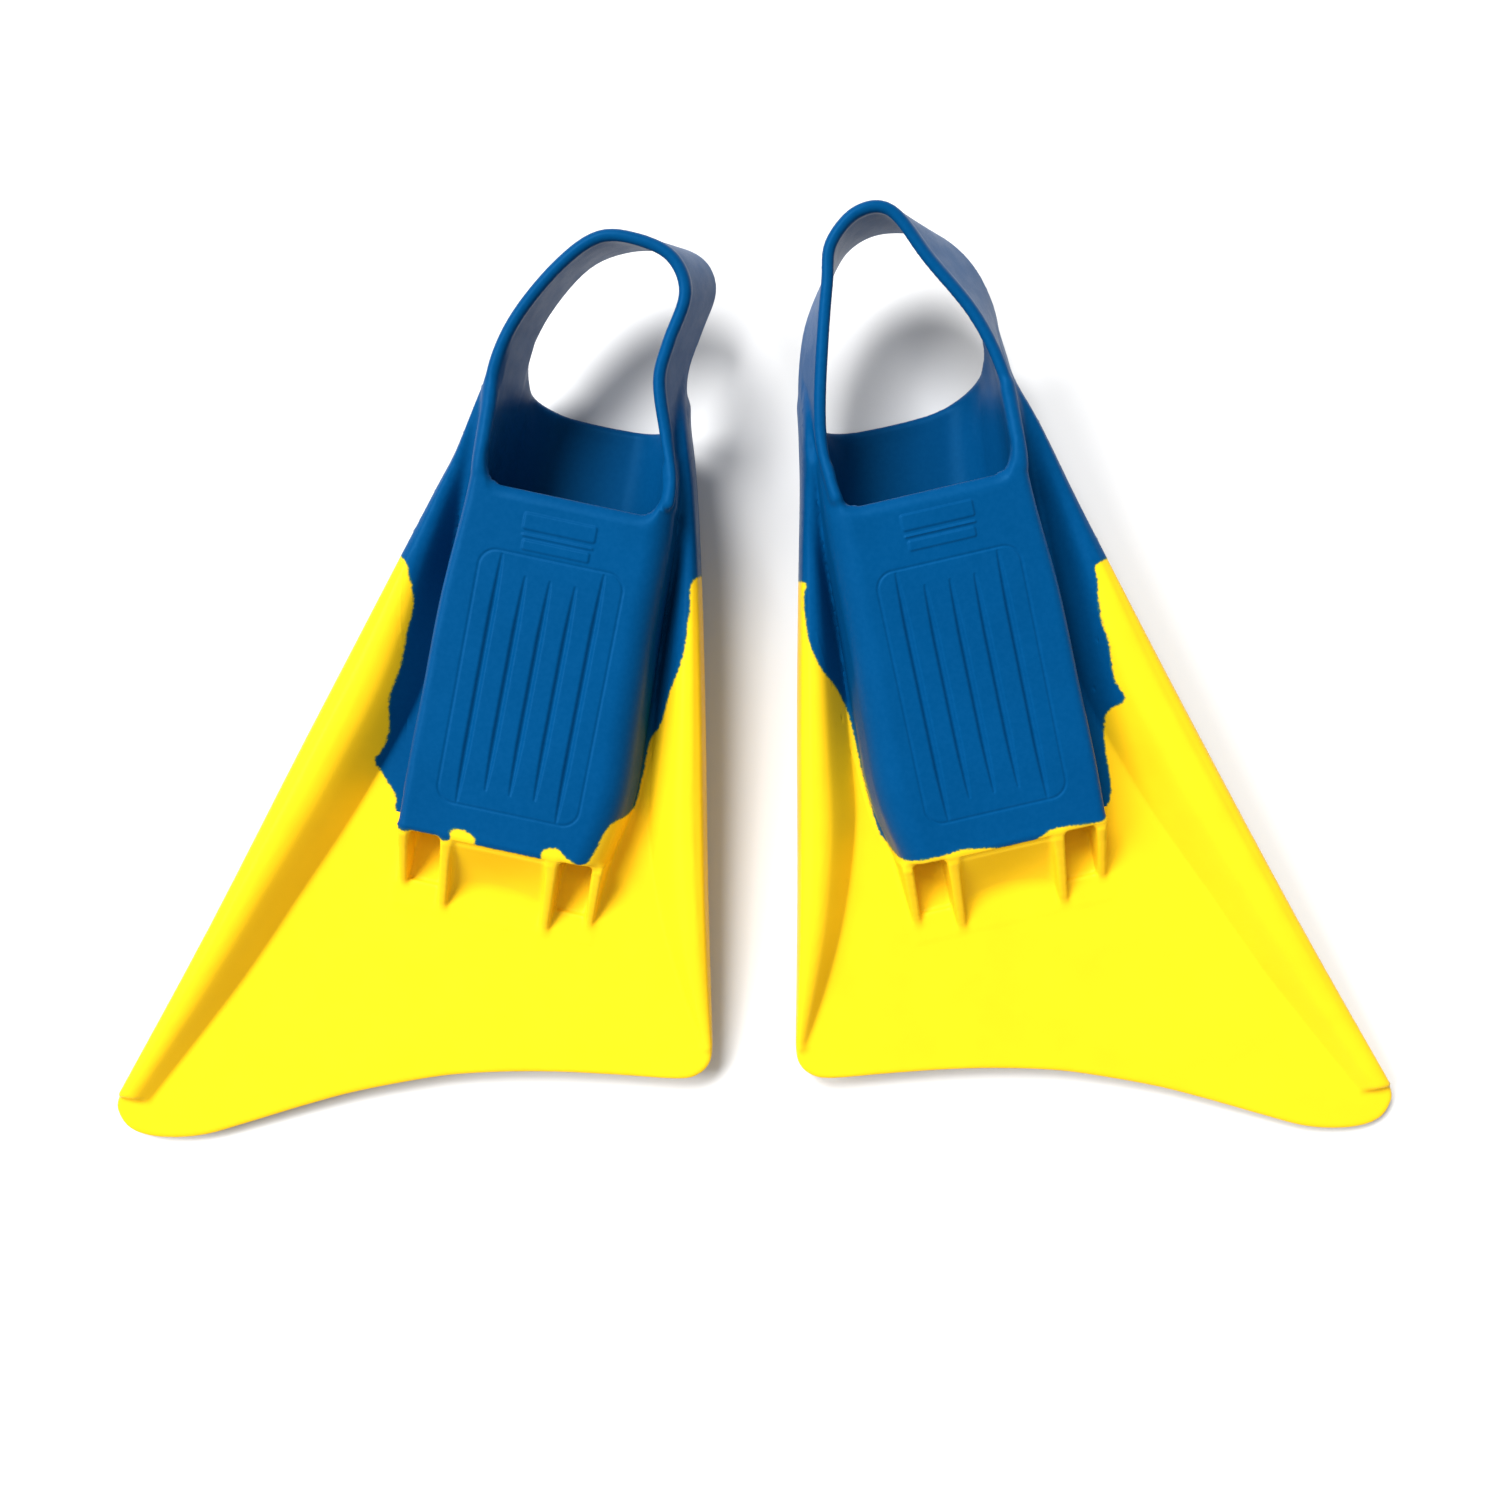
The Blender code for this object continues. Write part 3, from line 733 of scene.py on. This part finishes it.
def net_faces(inside, index):
    """A four-sided face across each grid edge that crosses the surface, facing outwards."""
    faces = []
    for axis in range(3):
        first, second = (axis + 1) % 3, (axis + 2) % 3
        low = np.take(inside, range(inside.shape[axis] - 1), axis)
        high = np.take(inside, range(1, inside.shape[axis]), axis)
        at = np.argwhere(low != high)
        steps = []
        for back_first, back_second in ((1, 1), (0, 1), (0, 0), (1, 0)):
            cell = at.copy()
            cell[:, first] -= back_first
            cell[:, second] -= back_second
            steps.append(index[tuple(cell.T)])
        quad = np.stack(steps, axis=1)
        leaving = low[tuple(at.T)]
        faces.append(np.where(leaving[:, None], quad, quad[:, ::-1]))
    return np.concatenate(faces)


def gradient(field, points):
    """The field at each point, and its slope there."""
    value = field(*points.T)
    slope = [field(*(points + PROBE * unit).T) - value for unit in np.eye(3)]
    return value, np.stack(slope, axis=1) / PROBE


def moved(points, move, reach):
    """Each point moved, but by no more than the reach."""
    length = np.linalg.norm(move, axis=1, keepdims=True)
    return points + move * np.minimum(1, reach / np.maximum(length, 1e-9))


def settle(points, field, steps=3, reach=0.6):
    """Moves points onto the surface."""
    for _ in range(steps):
        value, slope = gradient(field, points)
        steepness = np.maximum((slope**2).sum(1), 0.05)
        points = moved(points, -value[:, None] * slope / steepness[:, None], reach)
    return points


def settle_on_both(points, field, other, steps=5, reach=0.5):
    """Moves points onto the line where two surfaces cross."""
    for _ in range(steps):
        value_a, slope_a = gradient(field, points)
        value_b, slope_b = gradient(other, points)
        slopes = np.stack([slope_a, slope_b], axis=1)
        across = slopes.transpose(0, 2, 1)
        square = slopes @ across + 1e-3 * np.eye(2)
        values = np.stack([value_a, value_b], axis=1)[..., None]
        points = moved(points, -(across @ np.linalg.solve(square, values))[..., 0], reach)
    return points


def grid_axes():
    return [np.arange(low, high, GRID_STEP) for low, high in zip(GRID_LOW, GRID_HIGH)]


def crosses_zero(corners):
    """Which cells have corners on both sides of a surface."""
    return (corners.min(1) < 0) & (corners.max(1) >= 0)


def part_skin(shape, values, parting, sign):
    """The piece of the fin on one side of the parting: points in (u, v, w) and faces."""
    piece = np.maximum(values, sign * parting)
    inside = piece < 0
    mixed = mixed_cells(inside)
    cells = np.argwhere(mixed)
    index = np.full(mixed.shape, -1)
    index[mixed] = np.arange(len(cells))
    of_fin = corner_values(values, cells)
    on_seam = crosses_zero(of_fin) & crosses_zero(corner_values(parting, cells))
    place = crossing_point(cells, corner_values(piece, cells))
    place[on_seam] = crossing_point(cells[on_seam], of_fin[on_seam])
    points = np.array(GRID_LOW) + place * GRID_STEP

    def cut(u, v, w):
        return shape.parting(u, v) + 0 * w

    def whole(u, v, w):
        return np.maximum(shape(u, v, w), sign * cut(u, v, w))

    points[~on_seam] = settle(points[~on_seam], whole)
    points[on_seam] = settle_on_both(points[on_seam], shape, cut)
    return points, net_faces(inside, index)


def plain_mesh(points, faces):
    mesh_data = bmesh.new()
    verts = [mesh_data.verts.new(point) for point in points]
    for face in faces:
        mesh_data.faces.new([verts[i] for i in face])
    return mesh_data


def on_sole(place):
    """Which points are on the stretch of the sole's plane that has the moulded lines."""
    u, v, w = place.T
    flat = np.abs(w - sole_plane(v)) < ON_PLANE
    return flat & (outside(u, *DETAIL_U) < 0) & (outside(v, *DETAIL_V) < 0)


def refine_sole(name, points, faces):
    """A mesh with finer faces under the sole's moulded lines, and the lines pressed into them."""
    mesh_data = plain_mesh(points, faces)
    mesh_data.verts.index_update()
    marked = on_sole(np.array([vert.co for vert in mesh_data.verts]))
    edges = [edge for edge in mesh_data.edges if all(marked[vert.index] for vert in edge.verts)]
    bmesh.ops.subdivide_edges(mesh_data, edges=edges, cuts=2, use_grid_fill=True)
    place = np.array([vert.co for vert in mesh_data.verts])
    lifted = on_sole(place)
    u, v = place[lifted, :2].T
    place[lifted, 2] = sole_plane(v) + sole_detail(name, u, v)
    for vert, at in zip(mesh_data.verts, place):
        vert.co = at
    return mesh_data


# ---------------------------------------------------------------- placing the skins


class FinFrame:
    """Where a fin's own coordinates lie in the row frame, read off its two joints."""

    def __init__(self, name):
        joints = {joint["name"]: joint for joint in frame["joints"]}
        blade_at = Vector(joints[f"{name}_blade_flex"]["pos_m"])
        strap_at = Vector(joints[f"{name}_strap_swing"]["pos_m"])
        tilt = math.atan2(STRAP_AXIS_W, STRAP_AXIS_V - BLADE_AXIS_V)
        self.side = -1 if name == "left" else 1
        self.x = Vector(joints[f"{name}_strap_swing"]["axis"]).normalized()
        self.y = Quaternion(self.x, -tilt) @ (strap_at - blade_at).normalized()
        self.z = self.x.cross(self.y)
        self.origin = blade_at - self.y * BLADE_AXIS_V * MM

    def world(self, points):
        axes = np.array([self.x * self.side, self.y, self.z])
        return np.array(self.origin) + (points * MM) @ axes


def add_attribute(mesh, name, kind, values):
    field = "vector" if kind == "FLOAT_VECTOR" else "value"
    layer = mesh.attributes.new(name, kind, "POINT")
    layer.data.foreach_set(field, np.asarray(values, np.float32).ravel())


def sharpen_seam(mesh, shape, local):
    """Keeps the shading of the skin apart from that of the face where it was parted."""
    on_skin = np.abs(shape(*local.T)) < ON_SURFACE
    on_parting = np.abs(shape.parting(local[:, 0], local[:, 1])) < ON_SURFACE
    ends = np.zeros(len(mesh.edges) * 2, np.int32)
    mesh.edges.foreach_get("vertices", ends)
    sharp = np.zeros(len(mesh.edges), bool)
    mesh.edges.foreach_get("use_edge_sharp", sharp)
    sharp |= (on_skin & on_parting)[ends.reshape(-1, 2)].all(axis=1)
    mesh.edges.foreach_set("use_edge_sharp", sharp)


def skin_object(name, mesh_data, place, shape, material):
    """An object of a skin in (u, v, w), moved to the row frame, that remembers its own coordinates."""
    mesh = bpy.data.meshes.new(name)
    mesh_data.to_mesh(mesh)
    mesh_data.free()
    local = np.zeros(len(mesh.vertices) * 3, np.float32)
    mesh.vertices.foreach_get("co", local)
    local = local.reshape(-1, 3).astype(float)
    mesh.vertices.foreach_set("co", place.world(local).astype(np.float32).ravel())
    if place.side < 0:
        mesh.flip_normals()
    add_attribute(mesh, "fin_place", "FLOAT_VECTOR", local)
    add_attribute(mesh, "colour_edge", "FLOAT", shape.colour(*local.T))
    mesh.shade_smooth()
    mesh.set_sharp_from_angle(angle=math.radians(CORNER_ANGLE))
    sharpen_seam(mesh, shape, local)
    mesh.materials.append(material)
    obj = bpy.data.objects.new(name, mesh)
    bpy.context.scene.collection.objects.link(obj)
    return obj


def fin_values(shape):
    """The fin's field and its distance from the parting, on the grid."""
    u, v, w = grid_axes()
    slabs = np.split(v, range(SLAB, len(v), SLAB))
    values = [shape(u[:, None, None], slab[None, :, None], w) for slab in slabs]
    values = np.concatenate(values, axis=1)
    parting = shape.parting(u[:, None], v[None, :])[..., None]
    return values, np.broadcast_to(parting, values.shape)


def build_fin(name, materials):
    place = FinFrame(name)
    shape = FinShape(name)
    values, parting = fin_values(shape)
    blue_mesh = refine_sole(name, *part_skin(shape, values, parting, 1))
    yellow_mesh = plain_mesh(*part_skin(shape, values, parting, -1))
    pocket = skin_object(f"{name}_pocket_and_strap", blue_mesh, place, shape, materials["blue"])
    blade = skin_object(f"{name}_blade", yellow_mesh, place, shape, materials["yellow"])

    def row_point(along):
        return place.world(np.array([0.0, along, 0.0]))

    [row_point(at) for at in STRAP_BEND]
    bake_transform(pocket)
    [row_point(at) for at in BLADE_BEND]
    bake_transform(blade)
    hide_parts(f"{name}_foot_pocket", f"{name}_heel_strap")
    yellow_nodes = ["blade_root", "blade_web", "toe_ramp"]
    yellow_nodes += [f"{rail}_rail_{half}" for rail in ("outer", "inner") for half in ("root", "tip")]
    yellow_nodes += [f"drain_rib_{number}" for number in range(1, 5)]
    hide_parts(*(f"{name}_{node}" for node in yellow_nodes))


# ---------------------------------------------------------------- materials

BLUE = (0.0002, 0.050, 0.157, 1)
BLUE_PALE = (0.002, 0.063, 0.187, 1)
YELLOW = (0.86, 0.53, 0.010, 1)
SEAM_GREEN = (0.03, 0.13, 0.05, 1)
BLUE_SHEEN = (0.1, 0.5, 1, 1)
YELLOW_SHEEN = (1, 0.85, 0.4, 1)

# The line between the colours: how fine and how deep its raggedness is, how sharp it is, how far the
# green of the mixed compounds goes on either side, and how strong that is.
RAGGED_SCALE = 0.6
RAGGED_DEPTH = 1.8
EDGE_BLUR = 0.15
SEAM_REACH = (0.1, 0.7)
SEAM_STRENGTH = 0.6

# Soft patches: how fine they are, then what varies, from and to.
PALE_PATCHES = (0.5, 0.0, 0.3)
SHADE_PATCHES = (0.03, 0.97, 1.03)
ROUGH_PATCHES = (0.12, 0.36, 0.42)

SPECULAR = 0.11
GRAIN_SCALE = 2.5
GRAIN_STRENGTH = 0.15
GRAIN_DEPTH = 0.3 * MM


class Nodes:
    """Short ways to add nodes to a material."""

    def __init__(self, material):
        material.use_nodes = True
        self.tree = material.node_tree
        self.shader = self.tree.nodes["Principled BSDF"]

    def add(self, kind, **settings):
        node = self.tree.nodes.new(kind)
        for key, value in settings.items():
            setattr(node, key, value)
        return node

    def link(self, output, target):
        self.tree.links.new(output, target)

    def put(self, target, value):
        if isinstance(value, bpy.types.NodeSocket):
            self.link(value, target)
        else:
            target.default_value = value

    def math(self, operation, first, second=0.0):
        node = self.add("ShaderNodeMath", operation=operation)
        self.put(node.inputs[0], first)
        self.put(node.inputs[1], second)
        return node.outputs[0]

    def step(self, value, low, high, to_low=0.0, to_high=1.0):
        node = self.add("ShaderNodeMapRange", interpolation_type="SMOOTHSTEP")
        self.put(node.inputs["Value"], value)
        node.inputs["From Min"].default_value = low
        node.inputs["From Max"].default_value = high
        node.inputs["To Min"].default_value = to_low
        node.inputs["To Max"].default_value = to_high
        return node.outputs["Result"]

    def noise(self, place, scale, detail=3.0, roughness=0.55):
        node = self.add("ShaderNodeTexNoise")
        self.put(node.inputs["Vector"], place)
        node.inputs["Scale"].default_value = scale
        node.inputs["Detail"].default_value = detail
        node.inputs["Roughness"].default_value = roughness
        return node.outputs["Fac"]

    def patches(self, place, scale, low, high):
        """A value that wanders between two others, in soft patches."""
        return self.step(self.noise(place, scale), 0.3, 0.7, low, high)

    def mix(self, share, first, second):
        node = self.add("ShaderNodeMix", data_type="RGBA", blend_type="MIX")
        self.put(node.inputs["Factor"], share)
        self.put(node.inputs["A"], first)
        self.put(node.inputs["B"], second)
        return node.outputs["Result"]


def rubber(name):
    """Satin moulded rubber, blue or yellow by which side of the colour edge a point is on."""
    material = bpy.data.materials.new(name)
    nodes = Nodes(material)
    shader = nodes.shader.inputs
    place = nodes.add("ShaderNodeAttribute", attribute_name="fin_place").outputs["Vector"]
    edge = nodes.add("ShaderNodeAttribute", attribute_name="colour_edge").outputs["Fac"]
    wander = nodes.math("SUBTRACT", nodes.noise(place, RAGGED_SCALE, 5), 0.5)
    ragged_edge = nodes.math("ADD", edge, nodes.math("MULTIPLY", wander, RAGGED_DEPTH))
    is_yellow = nodes.step(ragged_edge, -EDGE_BLUR, EDGE_BLUR)
    seam = nodes.step(nodes.math("ABSOLUTE", ragged_edge), *SEAM_REACH, SEAM_STRENGTH, 0.0)
    blue = nodes.mix(nodes.patches(place, *PALE_PATCHES), BLUE, BLUE_PALE)
    colour = nodes.mix(seam, nodes.mix(is_yellow, blue, YELLOW), SEAM_GREEN)
    shaded = nodes.add("ShaderNodeHueSaturation")
    nodes.link(colour, shaded.inputs["Color"])
    nodes.link(nodes.patches(place, *SHADE_PATCHES), shaded.inputs["Value"])
    nodes.link(shaded.outputs["Color"], shader["Base Color"])
    nodes.link(nodes.patches(place, *ROUGH_PATCHES), shader["Roughness"])
    nodes.put(shader["Specular IOR Level"], SPECULAR)
    nodes.link(nodes.mix(is_yellow, BLUE_SHEEN, YELLOW_SHEEN), shader["Specular Tint"])
    bump = nodes.add("ShaderNodeBump")
    nodes.put(bump.inputs["Strength"], GRAIN_STRENGTH)
    nodes.put(bump.inputs["Distance"], GRAIN_DEPTH)
    nodes.link(nodes.noise(place, GRAIN_SCALE, 2), bump.inputs["Height"])
    nodes.link(bump.outputs["Normal"], shader["Normal"])
    return material


# ---------------------------------------------------------------- floor, light and camera

FLOOR_SIZE = 12
FLOOR_Z = -0.2 * MM
FLOOR_TONES = ((0.67, 0.67, 0.67, 1), (0.69, 0.69, 0.69, 1))
FLOOR_PATCHES = 6.0
FLOOR_ROUGHNESS = 0.6

# Each window: where it is from the fins, how many degrees across, and how strong.
WINDOWS = {
    "window": ((-28, 41, 75), 21, 3.4),
    "side_window": ((-65, 10, 75), 26, 2.5),
}
# How bright the white room is as a light, and to the camera.
ROOM_LIGHT = 0.5
ROOM_SEEN = 1.0

CAMERA_AT = (-0.002, -0.0245, 0.751)
LENS_MM = 41.76
SENSOR_MM = 36


def floor_material():
    material = bpy.data.materials.new("pale_floor")
    nodes = Nodes(material)
    place = nodes.add("ShaderNodeTexCoord").outputs["Object"]
    tone = nodes.mix(nodes.noise(place, FLOOR_PATCHES), *FLOOR_TONES)
    nodes.link(tone, nodes.shader.inputs["Base Color"])
    nodes.put(nodes.shader.inputs["Roughness"], FLOOR_ROUGHNESS)
    return material


def build_stage():
    bpy.ops.mesh.primitive_plane_add(size=FLOOR_SIZE, location=(0, 0, FLOOR_Z))
    floor = bpy.context.object
    floor.name = "floor"
    floor.data.materials.append(floor_material())


def soft_light(name, towards, spread, strength):
    """Light from one side of the room, as soft as a window that many degrees across."""
    data = bpy.data.lights.new(name, "SUN")
    data.angle = math.radians(spread)
    data.energy = strength
    light = bpy.data.objects.new(name, data)
    light.rotation_mode = "QUATERNION"
    light.rotation_quaternion = Vector(towards).to_track_quat("Z", "Y")
    bpy.context.scene.collection.objects.link(light)


def build_light():
    """Two soft windows high on the left, the first also past the heels, and a white room all round."""
    for name, (towards, spread, strength) in WINDOWS.items():
        soft_light(name, towards, spread, strength)
    world = bpy.data.worlds.new("studio")
    world.use_nodes = True
    tree = world.node_tree
    background = tree.nodes["Background"]
    background.inputs["Color"].default_value = (1, 1, 1, 1)
    seen = tree.nodes.new("ShaderNodeMapRange")
    seen.inputs["To Min"].default_value = ROOM_LIGHT
    seen.inputs["To Max"].default_value = ROOM_SEEN
    rays = tree.nodes.new("ShaderNodeLightPath")
    tree.links.new(rays.outputs["Is Camera Ray"], seen.inputs["Value"])
    tree.links.new(seen.outputs["Result"], background.inputs["Strength"])
    bpy.context.scene.world = world
    bpy.context.scene.view_settings.view_transform = "Standard"


def build_camera():
    """Straight above, a little towards the blades from the middle of the pair."""
    data = bpy.data.cameras.new("camera")
    data.lens = LENS_MM
    data.sensor_width = SENSOR_MM
    camera = bpy.data.objects.new("camera", data)
    camera.location = CAMERA_AT
    bpy.context.scene.collection.objects.link(camera)
    bpy.context.scene.camera = camera


def clear_startup():
    for name in ("Cube", "Light", "Camera"):
        if name in bpy.data.objects:
            bpy.data.objects.remove(bpy.data.objects[name], do_unlink=True)


clear_startup()
rubbers = {"blue": rubber("blue_rubber"), "yellow": rubber("yellow_rubber")}
for fin_name in ("left", "right"):
    build_fin(fin_name, rubbers)
build_stage()
build_light()
build_camera()
